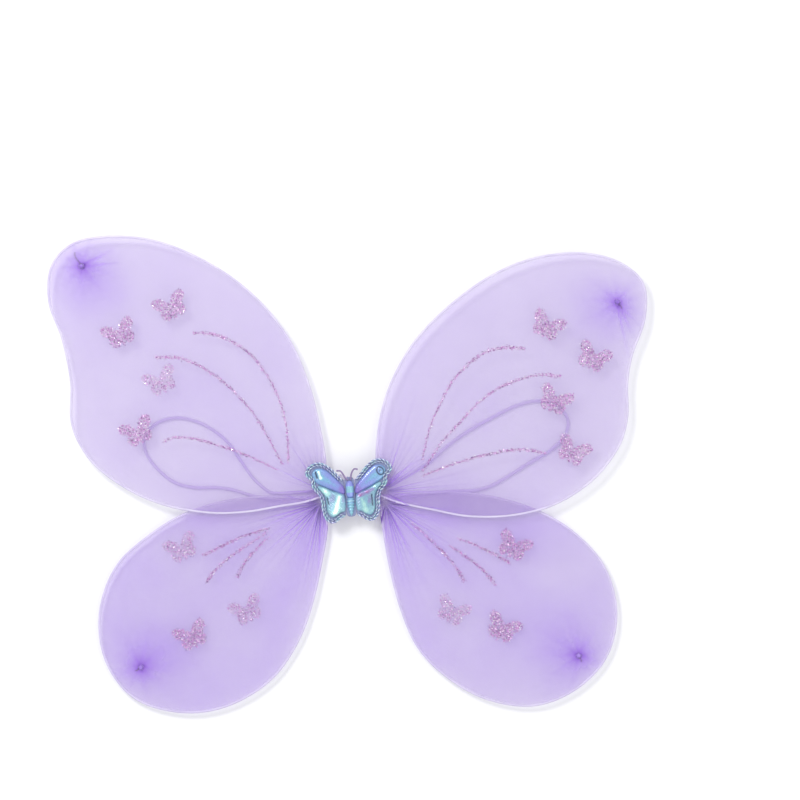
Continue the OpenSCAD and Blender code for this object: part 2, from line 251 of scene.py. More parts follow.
class Shader:
    """A short way to write a node material."""

    def __init__(self, name):
        self.material = bpy.data.materials.new(name)
        self.material.use_nodes = True
        self.tree = self.material.node_tree
        self.principled = self.tree.nodes["Principled BSDF"]

    def node(self, kind, **sockets):
        n = self.tree.nodes.new(kind)
        for key, value in sockets.items():
            self.feed(n.inputs[key.replace("_", " ")], value)
        return n

    def feed(self, socket, value):
        if isinstance(value, bpy.types.NodeSocket):
            self.tree.links.new(value, socket)
        else:
            socket.default_value = value

    def set(self, **sockets):
        for key, value in sockets.items():
            self.feed(self.principled.inputs[key.replace("_", " ")], value)

    def place(self, scale=(1, 1, 1)):
        where = self.tree.nodes.new("ShaderNodeTexCoord").outputs["Object"]
        if scale == (1, 1, 1):
            return where
        return self.node("ShaderNodeMapping", Vector=where, Scale=scale).outputs[0]

    def noise(self, size, detail=3.0, rough=0.55, where=None, distortion=0.0):
        """Noise whose features are about size metres across, as a number."""
        return self.node("ShaderNodeTexNoise", Vector=where or self.place(), Scale=1 / size, Detail=detail,
                         Roughness=rough, Distortion=distortion).outputs[0]

    def math(self, operation, *values, clamp=False):
        n = self.tree.nodes.new("ShaderNodeMath")
        n.operation, n.use_clamp = operation, clamp
        for socket, value in zip(n.inputs, values):
            self.feed(socket, value)
        return n.outputs[0]

    def ramp(self, value, *stops, smooth=True):
        n = self.node("ShaderNodeValToRGB", Fac=value)
        n.color_ramp.interpolation = "EASE" if smooth else "LINEAR"
        for i, (at, colour) in enumerate(stops):
            e = n.color_ramp.elements[i] if i < 2 else n.color_ramp.elements.new(at)
            e.position = at
            e.color = (*colour, 1)
        return n.outputs[0]

    def mix(self, share, a, b):
        n = self.tree.nodes.new("ShaderNodeMix")
        n.data_type = "RGBA"
        self.feed(n.inputs[0], share)
        self.feed(n.inputs[6], (*a, 1) if isinstance(a, tuple) else a)
        self.feed(n.inputs[7], (*b, 1) if isinstance(b, tuple) else b)
        return n.outputs[2]

    def attribute(self, name):
        n = self.tree.nodes.new("ShaderNodeAttribute")
        n.attribute_name = name
        return n.outputs["Fac"]

    def bump(self, height, depth, strength, under=None):
        n = self.node("ShaderNodeBump", Height=height, Distance=depth, Strength=strength)
        if under is not None:
            self.feed(n.inputs["Normal"], under)
        self.set(Normal=n.outputs[0])
        return n.outputs[0]

    def wave(self, size, direction="X"):
        """Even ridges, size metres apart."""
        n = self.node("ShaderNodeTexWave", Vector=self.place(), Scale=math.pi / 10 / size)
        n.bands_direction = direction
        return n.outputs["Fac"]


def stocking_mesh():
    """Fine stretched nylon knit: clear between its threads, and denser where it is gathered."""
    s = Shader("stocking_mesh")
    # dense is the mesh's density, less the painted light along the crossing of the lower wings
    dense = s.attribute("dense")
    cloud = s.noise(0.05, 2.0)
    knit = s.math("MULTIPLY", s.wave(0.00065, "X"), s.wave(0.0008, "Y"))
    thick = s.math("ADD", dense, s.math("MULTIPLY", s.math("SUBTRACT", cloud, 0.5), 0.18))
    tint = s.math("ADD", thick, s.math("MULTIPLY", s.math("SUBTRACT", s.noise(0.09, 1.0), 0.5), 0.25))
    colour = s.ramp(tint, (0.0, (0.51, 0.38, 0.75)), (0.30, (0.46, 0.29, 0.82)),
                    (0.65, (0.36, 0.17, 0.76)), (1.0, (0.19, 0.07, 0.48)), smooth=False)
    see = s.math("ADD", s.math("MULTIPLY", thick, 0.5), s.math("MULTIPLY_ADD", knit, 0.07, 0.235), clamp=True)
    s.set(Base_Color=colour, Alpha=s.math("MINIMUM", see, 0.86))
    s.set(Roughness=s.math("MULTIPLY_ADD", cloud, 0.2, 0.38))
    s.set(Sheen_Weight=0.35, Sheen_Roughness=0.4, Sheen_Tint=(0.9, 0.82, 1.0, 1), Specular_IOR_Level=0.35)
    soft = s.bump(s.noise(0.009, 3.0), 0.0006, 0.35)
    s.bump(knit, 0.00008, 0.3, soft)
    return s.material


def gathered_mesh():
    s = Shader("gathered_mesh")
    fold = s.noise(0.004, 3.0, where=s.place((0.15, 1, 1)))
    # darker in the fold hollows, where the bump sinks: partly the bunched cloth lying denser, partly painted
    # shade
    s.set(Base_Color=s.ramp(fold, (0.25, (0.20, 0.09, 0.50)), (0.75, (0.45, 0.30, 0.80))), Roughness=0.55)
    s.set(Sheen_Weight=0.4, Sheen_Roughness=0.4)
    s.bump(fold, 0.0008, 0.8)
    return s.material


def coated_wire():
    s = Shader("coated_wire")
    patches = s.noise(0.012, 3.0)
    s.set(Base_Color=s.ramp(patches, (0.3, (0.78, 0.76, 0.84)), (0.7, (0.92, 0.91, 0.95))))
    s.set(Roughness=s.math("MULTIPLY_ADD", patches, 0.2, 0.25), Coat_Weight=0.3, Coat_Roughness=0.2)
    s.bump(s.noise(0.0015, 2.0), 0.00004, 0.4)
    return s.material


def bare_wire():
    s = Shader("bare_wire")
    scratches = s.noise(0.002, 4.0, where=s.place((0.1, 1, 1)))
    s.set(Base_Color=s.ramp(scratches, (0.3, (0.42, 0.42, 0.44)), (0.7, (0.62, 0.62, 0.64))), Metallic=0.95)
    s.set(Roughness=s.math("MULTIPLY_ADD", scratches, 0.25, 0.25))
    return s.material


def sewing_thread(name, colour, ply_groove_shade):
    s = Shader(name)
    ply = s.wave(0.0006, "DIAGONAL")
    # painted shade: the colour turns to the darker one in the grooves between the plies, where the bump sinks
    s.set(Base_Color=s.mix(ply, ply_groove_shade, colour), Roughness=0.6, Sheen_Weight=0.3)
    s.bump(ply, 0.0001, 0.5)
    return s.material


def glitter_film():
    """Dried clear glue with a pink cast."""
    s = Shader("glitter_film")
    pool = s.noise(0.003, 3.0)
    s.set(Base_Color=s.ramp(pool, (0.3, (0.62, 0.36, 0.62)), (0.7, (0.80, 0.58, 0.80))))
    s.set(Alpha=s.math("MULTIPLY_ADD", pool, 0.22, -0.02, clamp=True), Roughness=0.3)
    s.set(Coat_Weight=0.4, Coat_Roughness=0.15)
    s.bump(pool, 0.0003, 0.5)
    return s.material


def glitter_flake():
    s = Shader("glitter_flake")
    tone = s.attribute("tone")
    colour = s.ramp(tone, (0.0, (0.15, 0.06, 0.20)), (0.22, (0.34, 0.13, 0.38)), (0.5, (0.57, 0.25, 0.60)),
                    (0.80, (0.76, 0.44, 0.78)), (1.0, (1.0, 0.95, 1.0)), smooth=False)
    s.set(Base_Color=colour, Metallic=s.math("MULTIPLY", tone, 0.3), Coat_Weight=0.25, Coat_Roughness=0.12)
    s.set(Roughness=s.math("MULTIPLY_ADD", tone, -0.2, 0.4))
    return s.material


def felt():
    s = Shader("felt")
    fibres = s.noise(0.0012, 6.0, 0.7, distortion=1.5)
    clumps = s.noise(0.008, 2.0)
    colour = s.ramp(fibres, (0.3, (0.70, 0.66, 0.76)), (0.7, (0.88, 0.86, 0.92)))
    s.set(Base_Color=s.mix(clumps, colour, (0.82, 0.78, 0.90)))
    s.set(Roughness=0.95, Sheen_Weight=0.5, Sheen_Roughness=0.6)
    s.bump(fibres, 0.0005, 0.8)
    return s.material


def hot_glue():
    s = Shader("hot_glue")
    cloud = s.noise(0.004, 2.0)
    s.set(Base_Color=s.ramp(cloud, (0.2, (0.72, 0.68, 0.56)), (0.8, (0.86, 0.83, 0.74))), Roughness=0.3)
    s.set(Subsurface_Weight=0.3, Subsurface_Radius=(0.004, 0.003, 0.002), Coat_Weight=0.3)
    s.bump(cloud, 0.0006, 0.5)
    return s.material


def satin_ribbon():
    s = Shader("satin_ribbon")
    weft = s.wave(0.00035, "X")
    shade = s.noise(0.006, 3.0)
    s.set(Base_Color=s.ramp(shade, (0.25, (0.30, 0.17, 0.60)), (0.75, (0.46, 0.30, 0.78))))
    s.set(Roughness=s.math("MULTIPLY_ADD", weft, 0.15, 0.3), Sheen_Weight=0.4, Anisotropic=0.5)
    s.bump(weft, 0.00006, 0.5)
    return s.material


def braided_elastic():
    s = Shader("braided_elastic")
    fuzz = s.noise(0.0006, 4.0)
    soil = s.noise(0.03, 2.0)
    colour = s.ramp(fuzz, (0.3, (0.52, 0.46, 0.66)), (0.7, (0.70, 0.64, 0.82)))
    s.set(Base_Color=s.mix(soil, colour, (0.62, 0.56, 0.76)))
    s.set(Roughness=0.8, Sheen_Weight=0.3)
    s.bump(fuzz, 0.0001, 0.6)
    return s.material


def iridescent_film(name, size, roughness, *stops):
    """Glossy foil whose colour drifts between the stops."""
    s = Shader(name)
    drift = s.noise(size, 2.0, 0.5, distortion=0.8)
    fine = s.noise(0.0009, 4.0)
    s.set(Base_Color=s.ramp(drift, *stops), Metallic=0.35)
    s.set(Roughness=s.math("MULTIPLY_ADD", fine, 0.12, roughness))
    s.set(Coat_Weight=0.8, Coat_Roughness=0.08, Specular_IOR_Level=0.6)
    s.set(Thin_Film_Thickness=380.0, Thin_Film_IOR=1.45)
    s.bump(fine, 0.00005, 0.4)
    return s.material


def patch_backing():
    s = Shader("patch_backing")
    fibre = s.noise(0.0008, 5.0, 0.7)
    # painted shade: the felt under the patch is coloured dark so that the gaps between the ropes, pads and
    # body read as shaded
    s.set(Base_Color=s.ramp(fibre, (0.3, (0.17, 0.17, 0.34)), (0.7, (0.30, 0.36, 0.54))))
    s.set(Roughness=0.8, Sheen_Weight=0.3)
    s.bump(fibre, 0.0002, 0.6)
    return s.material


# --- camera, light and floor ---

VIEW_W = 624 * MM  # the width that the picture takes in, at the wings' height
VIEW_MID = (37.4 * MM, 75.7 * MM)
LENS = 100.0
SENSOR = 36.0
UPPER_Z = mid_z("upper_left_hoop")
LOWER_Z = mid_z("lower_left_hoop")
FLOOR_HALF = 6.0
FLOOR_GAP = 0.05 * MM  # keeps the floor just clear of the felt pad


def camera():
    scene = bpy.context.scene
    cam = bpy.data.objects.new("camera", bpy.data.cameras.new("camera"))
    cam.data.lens, cam.data.sensor_width = LENS, SENSOR
    cam.data.clip_start, cam.data.clip_end = 0.05, 20
    cam.location = (*VIEW_MID, UPPER_Z + VIEW_W * LENS / SENSOR)
    scene.collection.objects.link(cam)
    scene.camera = cam


def floor_sheet():
    """A pale floor, clear from below so that the back of the wings can be seen."""
    corners = [(-1, -1), (1, -1), (1, 1), (-1, 1)]
    floor = bpy.data.objects.new("floor", bpy.data.meshes.new("floor"))
    floor.data.from_pydata([(x * FLOOR_HALF, y * FLOOR_HALF, 0) for x, y in corners], [], [(0, 1, 2, 3)])
    floor.location.z = -FLOOR_GAP
    bpy.context.scene.collection.objects.link(floor)
    s = Shader("floor")
    s.set(Base_Color=s.ramp(s.noise(0.4, 2.0), (0.3, (0.90, 0.90, 0.91)), (0.7, (0.92, 0.92, 0.925))))
    s.set(Roughness=0.9, Specular_IOR_Level=0.0)
    clear = s.tree.nodes.new("ShaderNodeBsdfTransparent")
    both = s.tree.nodes.new("ShaderNodeMixShader")
    back = s.tree.nodes.new("ShaderNodeNewGeometry").outputs["Backfacing"]
    s.feed(both.inputs[0], back)
    s.feed(both.inputs[1], s.principled.outputs[0])
    s.feed(both.inputs[2], clear.outputs[0])
    s.feed(s.tree.nodes["Material Output"].inputs["Surface"], both.outputs[0])
    floor.data.materials.append(s.material)


def softbox(name, at, size, watts, aim=(0, 0.02, 0)):
    """A square lamp that faces the hub."""
    light = bpy.data.lights.new(name, "AREA")
    light.shape, light.size, light.energy = "SQUARE", size, watts
    lamp = bpy.data.objects.new(name, light)
    lamp.location = at
    lamp.rotation_euler = (Vector(aim) - Vector(at)).to_track_quat("-Z", "Y").to_euler()
    bpy.context.scene.collection.objects.link(lamp)


def sky():
    scene = bpy.context.scene
    world = bpy.data.worlds.new("world")
    scene.world = world
    world.use_nodes = True
    light = world.node_tree.nodes["Background"].inputs
    light["Color"].default_value = (0.97, 0.98, 1.0, 1)
    light["Strength"].default_value = 0.85
    scene.view_settings.view_transform = "Standard"
    scene.view_settings.look = "None"


camera()
floor_sheet()
sky()
softbox("key", (-0.75, 1.0, 1.5), 0.55, 15.0)
softbox("fill", (0.9, -0.5, 1.4), 1.2, 4.0)


# --- arm loops ---

LEFT_LOOP = [
    (-7, 5.2, 2.95), (-16, 5.2, 2.95), (-24, 5, 2.95), (-34, 4.2, 1.8), (-46, 3.2, 1.3), (-58, 2.4, 1.3),
    (-67, 5, 1.3), (-78, 15, 1.3), (-88, 29, 1.3), (-98, 43, 1.3), (-112, 54, 1.3), (-126, 60, 1.3),
    (-140, 61.5, 1.3), (-154, 57, 1.3), (-163, 46, 1.3), (-161, 33, 1.3), (-151, 20, 1.3),
    (-138, 10.5, 1.3), (-122, 7, 1.3), (-106, 7, 1.3), (-92, 4.8, 1.3), (-78, 0.6, 1.3),
    (-64, -2.6, 1.3), (-50, -2, 1.3), (-37, -0.4, 1.6), (-26, 0.8, 2.9), (-16, 1.2, 2.95), (-7, 1.2, 2.95),
]
RIGHT_LOOP = [
    (7, 5.2, 2.95), (16, 5.6, 2.95), (25, 8, 2.95), (36, 13, 1.7), (48, 19.5, 1.3), (60, 27, 1.3),
    (75, 40, 1.3), (92, 52, 1.3), (110, 62, 1.3), (128, 71, 1.3), (145, 75, 1.3), (160, 72, 1.3),
    (169, 60, 1.3), (166, 47, 1.3), (155, 36, 1.3), (140, 27, 1.3), (124, 17, 1.3), (109, 8.5, 1.3),
    (95, 4.8, 1.3), (81, 4.4, 1.3), (66, 3, 1.3), (52, 1.4, 1.3), (39, 0.6, 1.6), (27, 0.8, 2.9),
    (16, 1.2, 2.95), (7, 1.2, 2.95),
]
ELASTIC_D = 2.6 * MM
BRAID_SIDES = 20
BRAID_PITCH = 3.2 * MM
BRAID_STRANDS = 5


def arm_loop(name, route, material):
    """Round elastic with a braided cover: its surface rises where one strand passes over another."""
    line = catmull(np.array(route) * MM, 14)
    line = spaced(line, int(length_of(line) / (0.42 * MM)))
    run = np.linspace(0, length_of(line), len(line))[:, None]
    a = full_turn(BRAID_SIDES)[None, :]
    one = np.cos(BRAID_STRANDS * a + 2 * math.pi * run / BRAID_PITCH)
    two = np.cos(BRAID_STRANDS * a - 2 * math.pi * run / BRAID_PITCH)
    radius = ELASTIC_D / 2 * (0.965 + 0.035 * np.maximum(one, two))
    piece = mesh_object(name, tube_points(line, radius, BRAID_SIDES),
                        tube_faces(len(line), BRAID_SIDES), material)
    return piece


ELASTIC = braided_elastic()
place(arm_loop("left_elastic", LEFT_LOOP, ELASTIC), "hub", "elastic", "left_arm_loop")
place(arm_loop("right_elastic", RIGHT_LOOP, ELASTIC), "hub", "elastic", "right_arm_loop")


# --- wings ---

WIRE_R = 0.8 * MM
THREAD_R = 0.27 * MM
THREAD_TURNS = 4.2
KNOT_THREAD_R = 0.2 * MM
KNOT_THREAD_TURNS = 3.5
SLEEVE_R = 0.97 * MM  # the mesh lies on the wire
ROUTES = {
    "upper_left": [
        (-16.6, 2.1), (-19.6, 2.1), (-25, 0), (-38, -4), (-56, -7), (-84, -11.6), (-113, -12), (-146, -6),
        (-176, 7), (-203, 28), (-218, 56), (-219, 90), (-226, 124), (-236, 152), (-234, 180), (-216, 198),
        (-184, 203), (-148, 198), (-108, 180), (-76, 156), (-50, 124), (-34, 88), (-25, 52), (-21, 28),
        (-21.6, 14), (-21.6, 6.4), (-19.6, 3.9), (-16.6, 3.9),
    ],
    "upper_right": [
        (16.6, 3.9), (19.6, 3.9), (21.4, 6.6), (20.4, 16), (19.2, 34), (22.8, 64), (32, 92), (49, 121),
        (75, 148), (108, 172), (142, 186), (178, 190), (208, 183), (227, 166), (228, 139), (218, 110),
        (214.5, 88), (214.5, 62), (207, 38), (187, 13), (158, -5.5), (126, -14), (92, -15), (62, -9.6),
        (38, -4.6), (26, -0.4), (19.6, 2.1), (16.6, 2.1),
    ],
    "lower_left": [
        (-16.6, -2.1), (-19.6, -2.1), (-27, -1.4), (-40, -0.6), (-60, 0.4), (-84, -1), (-110, -6),
        (-136, -16), (-162, -33), (-183, -53), (-195, -80), (-197, -108), (-189, -135), (-170, -157),
        (-142, -167), (-112, -167), (-84, -157), (-60, -139), (-42, -112), (-31, -82), (-24, -50),
        (-20, -26), (-20.6, -12), (-21.4, -6.6), (-19.6, -3.9), (-16.6, -3.9),
    ],
    "lower_right": [
        (16.6, -3.9), (19.6, -3.9), (22, -7), (22.8, -14), (24.6, -26), (30, -56), (38.5, -88), (52, -118),
        (76, -142), (106, -158), (140, -163), (170, -153), (194, -132), (205, -106), (205, -78), (194, -50),
        (172, -27), (146, -11.5), (118, -2), (90, 3), (64, 3.6), (42, 2), (28, -0.6), (19.6, -2.1),
        (16.6, -2.1),
    ],
}
# Each wing: the point that its pleats run from, how strong they are, how dense the mesh is all over and how
# much clearer it is painted along the crossing, a painted light that offsets the upper wings' shade there,
# the tip knot with its thread's tail in mm and degrees, the creases in mm, and the cloth's cut size and one
# layer's area in metres
LOOKS = {
    "upper_left": dict(
        root=(-24.5, 5.2), pleats=0.55, base=-0.02, painted_overlap_light=0.0, tip=(-211, 180), tail=11, tail_turn=112,
        creases=[((-210, 181), (-186, 193)), ((-210, 180), (-182, 183))],
        cut=(0.23, 0.25), area=0.0345),
    "upper_right": dict(
        root=(24.5, 4.5), pleats=0.9, base=-0.02, painted_overlap_light=0.0, tip=(207, 152), tail=5, tail_turn=-60,
        creases=[((208, 150), (224, 134)), ((208, 149), (220, 125)), ((207, 148), (216, 109)),
                 ((29, 13), (58, 33)), ((27, 9), (50, 26))],
        cut=(0.22, 0.24), area=0.0325),
    "lower_left": dict(
        root=(-24.5, -5), pleats=1.25, base=0.09, painted_overlap_light=0.15, tip=(-165, -133), tail=4, tail_turn=210,
        creases=[], cut=(0.18, 0.20), area=0.0227),
    "lower_right": dict(
        root=(26, -5), pleats=1.1, base=0.06, painted_overlap_light=0.13, tip=(177, -124), tail=4, tail_turn=-70,
        creases=[], cut=(0.18, 0.20), area=0.0231),
}
AROUND = 420  # points round each ring of a sleeve
RINGS = 84
WRAP = 7  # steps round the wire
PLEATS = 58
LONG_FOLDS = 11
STAR_FOLDS = 9
PLEAT_FADE = 27 * MM
LONG_FADE = 95 * MM
STAR_FADE = 13 * MM
MESH = stocking_mesh()
WIRE = coated_wire()
GATHER = gathered_mesh()
THREAD = sewing_thread("violet_thread", (0.34, 0.22, 0.62), (0.16, 0.08, 0.36))
DARK_THREAD = sewing_thread("dark_thread", (0.20, 0.13, 0.14), (0.08, 0.05, 0.06))


def wing_z(wing):
    return UPPER_Z if "upper" in wing else LOWER_Z


def ripple(angle, seed, count):
    """An uneven run of count folds round a centre, from -1 to 1."""
    rng = np.random.default_rng(seed)
    phase = rng.uniform(0, 2 * math.pi, 6)
    bend = angle + 0.05 * np.sin(7 * angle + phase[0]) + 0.02 * np.sin(17 * angle + phase[1])
    p = np.sin(count * bend + phase[2]) * (0.6 + 0.4 * np.sin(11 * angle + phase[3]))
    return 0.75 * p + 0.25 * np.sin(0.43 * count * bend + phase[4])


def bearing(points, centre):
    """The direction of each point from a centre, as an angle."""
    out = points - centre
    return np.arctan2(out[..., 1], out[..., 0])


def angle_between(a, b):
    return np.angle(np.exp(1j * (a - b)))


def hoop_edge(wing, root, tip):
    """Points round the hoop, closer together where they turn fast about the root, and by the tip knot."""
    line = catmull(np.array(ROUTES[wing]) * MM, 24)
    line = np.vstack([line, line[0] + (line[-1] - line[0]) * 0.5])
    ring = np.vstack([line, line[:1]])
    step = np.linalg.norm(np.diff(ring, axis=0), axis=1)
    turn = np.unwrap(bearing(ring, root))
    swing = np.abs(np.diff(turn))
    near_tip = bell(angle_between(turn[1:], bearing(tip, root)), 0.16)
    weight = step / step.sum() + 0.9 * swing / swing.sum() * (1 + 1.6 * near_tip)
    run = np.concatenate([[0], np.cumsum(weight)])
    at = np.linspace(0, run[-1], AROUND, endpoint=False)
    return np.stack([np.interp(at, run, ring[:, k]) for k in range(2)], axis=1)


def ring_shares(tip_share):
    """How far out each ring lies, 0 at the root and 1 at the edge, with the rings closest by the tip knot."""
    r = np.linspace(0, 1, 400)
    density = 1 + 1.6 * bell(r - tip_share, 0.09) + 0.8 * bell(r, 0.15)
    run = np.concatenate([[0], np.cumsum(density[:-1] + density[1:])])
    return np.interp(np.linspace(0, run[-1], RINGS + 1), run, r)[1:]


def crease_lines(flat, creases):
    """1 along each crease, weaker towards its far end, and 0 away from them."""
    depth = np.zeros(flat.shape[:2])
    for a, b in creases:
        a, b = np.array(a) * MM, np.array(b) * MM
        t = np.clip((flat - a) @ (b - a) / ((b - a) @ (b - a)), 0, 1)
        gap = np.linalg.norm(flat - a - t[:, :, None] * (b - a), axis=2)
        depth = np.maximum(depth, bell(gap, 0.9 * MM) * (1 - 0.75 * t))
    return depth


def cloth_folds(look, seed, root, tip, flat):
    """How high the folds stand at each point of the cloth, in mm, and how dense the mesh is there."""
    x, y = flat[:, :, 0], flat[:, :, 1]
    from_root = np.linalg.norm(flat - root, axis=2)
    from_tip = np.linalg.norm(flat - tip, axis=2)
    angle = bearing(flat, root)
    fade = np.exp(-from_root / PLEAT_FADE) * (1 - bell(from_root, 4 * MM))
    pleats = ripple(angle, seed, PLEATS)
    long_folds = ripple(angle, seed + 20, LONG_FOLDS) * np.exp(-from_root / LONG_FADE)
    long_folds = long_folds * (1 - bell(from_root, 30 * MM))
    rays = ripple(bearing(flat, tip), seed + 40, STAR_FOLDS)
    star_fade = np.exp(-from_tip / STAR_FADE)
    star = rays * star_fade * (1 - bell(from_tip, 1.6 * MM))
    halo_at = tip + (root - tip) / np.linalg.norm(root - tip) * 15 * MM
    halo = bell(np.linalg.norm(flat - halo_at, axis=2), 25 * MM)
    crease = crease_lines(flat, look["creases"])
    slack = (np.sin(x / (21 * MM) + seed) * np.sin(y / (26 * MM) + 2 * seed)
             + 0.5 * np.sin((x + y) / (11 * MM) + seed))

    height = look["pleats"] * (0.95 * fade * pleats + 0.5 * long_folds)
    height = height + 0.6 * star + 0.08 * slack - 0.35 * crease
    gathered = 0.06 * np.exp(-from_root / (15 * MM)) + 0.11 * np.exp(-from_root / (65 * MM))
    valleys = 2.10 * fade ** 1.7 * (0.5 - 0.5 * pleats) ** 3
    dense = look["base"] + look["pleats"] * (gathered + valleys - 0.10 * long_folds)
    # painted light: the lower wings are made clearer along the crossing, where the upper wings' shade falls
    # on them
    dense = dense - look["painted_overlap_light"] * bell(y - 2 * MM, 12 * MM) + 0.15 * halo + 0.32 * crease
    dense = dense + 0.85 * np.exp(-from_tip / (4.5 * MM)) + 0.35 * star_fade * (0.5 - 0.5 * rays)
    return height, dense


def sleeve(wing):
    """Both layers of the stocking: a disc of cloth in front, the turn round the wire, and the back.
    Returns points of the front layer."""
    look = LOOKS[wing]
    root = np.array(look["root"]) * MM
    tip = np.array(look["tip"]) * MM
    z = wing_z(wing)
    edge = hoop_edge(wing, root, tip)
    t = tangents(edge, closed=True)
    way = runs_left(edge)
    outward = -way * np.stack([-t[:, 1], t[:, 0]], axis=1)
    reach = np.linalg.norm(edge - root, axis=1)
    k_tip = np.argmin(np.abs(angle_between(bearing(edge, root), bearing(tip, root))))
    shares = ring_shares(min(np.linalg.norm(tip - root) / reach[k_tip], 0.97))

    flat = root + shares[:, None, None] * (edge - root)[None, :, :]
    to_edge = (1 - shares)[:, None] * reach[None, :]
    height, dense = cloth_folds(look, WINGS.index(wing) + 3, root, tip, flat)
    lift = (1 - bell(to_edge, 6 * MM)) * height * MM
    pull = bell(np.linalg.norm(flat - tip, axis=2), 3.2 * MM) * MM
    drawn_in = 0.55 * MM * (1 - bell(to_edge, 17 * MM))
    front = z + SLEEVE_R - drawn_in + lift + 0.5 * pull
    back = z - SLEEVE_R + drawn_in + 0.8 * lift - 0.3 * pull

    def row(xy, heights):
        return np.column_stack([xy, np.broadcast_to(heights, len(xy))])

    rows = [row(flat[i], front[i]) for i in range(RINGS)]
    for k in range(1, WRAP):
        a = math.pi * (0.5 - k / WRAP)
        rows.append(row(edge + outward * SLEEVE_R * math.cos(a), z + SLEEVE_R * math.sin(a)))
    rows += [row(flat[i], back[i]) for i in range(RINGS - 1, -1, -1)]
    ends = [[*root, z + SLEEVE_R * 0.6]], [[*root, z - SLEEVE_R * 0.6]]
    points = np.vstack([ends[0], *rows, ends[1]])
    middle = [dense[0].mean()]
    thick = np.concatenate([middle, dense.ravel(), np.tile(dense[-1], WRAP - 1), dense[::-1].ravel(), middle])

    last = len(points) - 1
    k = np.arange(AROUND)
    after = (k + 1) % AROUND
    faces = [list(f) for f in 1 + grid_faces(len(rows), AROUND, wrap=True)]
    faces += [[0, 1 + b, 1 + a] for a, b in zip(k, after)]
    faces += [[last, last - AROUND + a, last - AROUND + b] for a, b in zip(k, after)]
    if way > 0:
        faces = flipped(faces)
    piece = mesh_object(wing + "_stocking", points, faces, MESH, floats={"dense": np.clip(thick, 0, 1.4)})
    place(piece, wing + "_wing", "mesh", wing + "_mesh")
    return np.column_stack([flat.reshape(-1, 2), front.reshape(-1)])


def hoop(wing):
    line = catmull(np.array([(x, y, 0) for x, y in ROUTES[wing]]) * MM, 16)
    line[:, 2] = wing_z(wing)
    line = spaced(line, int(length_of(line) / (1.6 * MM)))
    piece = mesh_object(wing + "_wire", tube_points(line, WIRE_R, 16), tube_faces(len(line), 16), WIRE)
    place(piece, wing + "_wing", "wire", wing + "_hoop")


def box_profile(half_y, half_z, power, angle):
    """A closed outline between an ellipse and a box, squarer for a higher power."""
    c, s = np.cos(angle), np.sin(angle)
    k = (np.abs(c / half_y) ** power + np.abs(s / half_z) ** power) ** (-1 / power)
    return k * c, k * s


def root_wrap(wing):
    """Thread wound round the neck of the sleeve."""
    lo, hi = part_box(wing + "_root_tie")
    mid, half = (lo + hi) / 2, (hi - lo) / 2
    r = THREAD_R
    a = np.linspace(0, THREAD_TURNS * 2 * math.pi, 260)
    x = lo.x + r + (hi.x - lo.x - 2 * r) * np.linspace(0, 1, len(a))
    y, z = box_profile(half.y - 1.0 * r, half.z - 1.0 * r, 4.5, a)
    coil = np.column_stack([x, mid.y + y, mid.z + z])
    b = np.linspace(0.2, 1.8 * math.pi, 90)
    y, z = box_profile(half.y - 0.8 * r, half.z - 0.8 * r, 4.5, b)
    cross = np.column_stack([np.linspace(hi.x - r, lo.x + r, len(b)), mid.y + y, mid.z + z])
    parts = [free_tube(line, r, 8) for line in (coil, cross)]
    place(joined(wing + "_root_thread", parts, THREAD), wing + "_wing", "thread", wing + "_root_tie")


# A tip tuft from the cloth upwards: radius and height in mm, and how much the ring is frilled
TUFT = [
    (2.1, -0.1, 0.6), (1.4, 0.3, 0.8), (1.0, 0.7, 0.7), (0.95, 0.95, 0.6),
    (1.35, 1.25, 1.0), (1.45, 1.5, 1.0), (1.0, 1.62, 1.0), (0.45, 1.5, 0.5),
]
TUFT_SIDES = 48


def tip_tuft(wing, x, y, base):
    """The small tuft of mesh that stands up at the tip."""
    rng = np.random.default_rng(90 + WINGS.index(wing))
    a = full_turn(TUFT_SIDES)
    frill = 0.16 * np.sin(9 * a + rng.uniform(0, 6)) + 0.07 * np.sin(17 * a)
    rows = []
    for radius, height, frilled in TUFT:
        r = radius * MM * (1 + frilled * frill)
        z = base + height * MM + 0.12 * MM * frilled * np.sin(5 * a)
        rows.append(np.column_stack([x + r * np.cos(a), y + r * np.sin(a), z]))
    rows.append([[x, y, base + 1.35 * MM]])
    top = len(TUFT) * TUFT_SIDES
    rim = top - TUFT_SIDES
    faces = [list(f) for f in grid_faces(len(TUFT), TUFT_SIDES, wrap=True)]
    faces += [[rim + k, rim + (k + 1) % TUFT_SIDES, top] for k in range(TUFT_SIDES)]
    faces += [list(range(TUFT_SIDES - 1, -1, -1))]
    tuft = mesh_object(wing + "_tuft", np.vstack(rows), faces, GATHER)
    place(tuft, wing + "_wing", "mesh", wing + "_tip_tie")


def tip_knot(wing):
    """The tuft at the tip, and the thread wound round it, with its tail lying on the mesh."""
    look = LOOKS[wing]
    x, y = np.array(look["tip"]) * MM
    base = wing_z(wing) + SLEEVE_R
    tip_tuft(wing, x, y, base)
    a = np.linspace(0, KNOT_THREAD_TURNS * 2 * math.pi, 150)
    rise = base + (0.55 + 0.5 * a / a[-1]) * MM
    coil = np.column_stack([x + 1.12 * MM * np.cos(a), y + 1.12 * MM * np.sin(a), rise])
    way = math.radians(look["tail_turn"])
    along = np.linspace(0, 1, 24)
    bend = way + 0.25 * np.sin(3 * along)
    tail = np.column_stack([
        x + 1.1 * MM * math.cos(way) + along * look["tail"] * MM * np.cos(bend),
        y + 1.1 * MM * math.sin(way) + along * look["tail"] * MM * np.sin(bend),
        base + (0.75 - 0.45 * np.minimum(along * 4, 1)) * MM])
    parts = [free_tube(line, KNOT_THREAD_R, 8) for line in (coil, tail)]
    place(joined(wing + "_tip_thread", parts, DARK_THREAD), wing + "_wing", "thread")


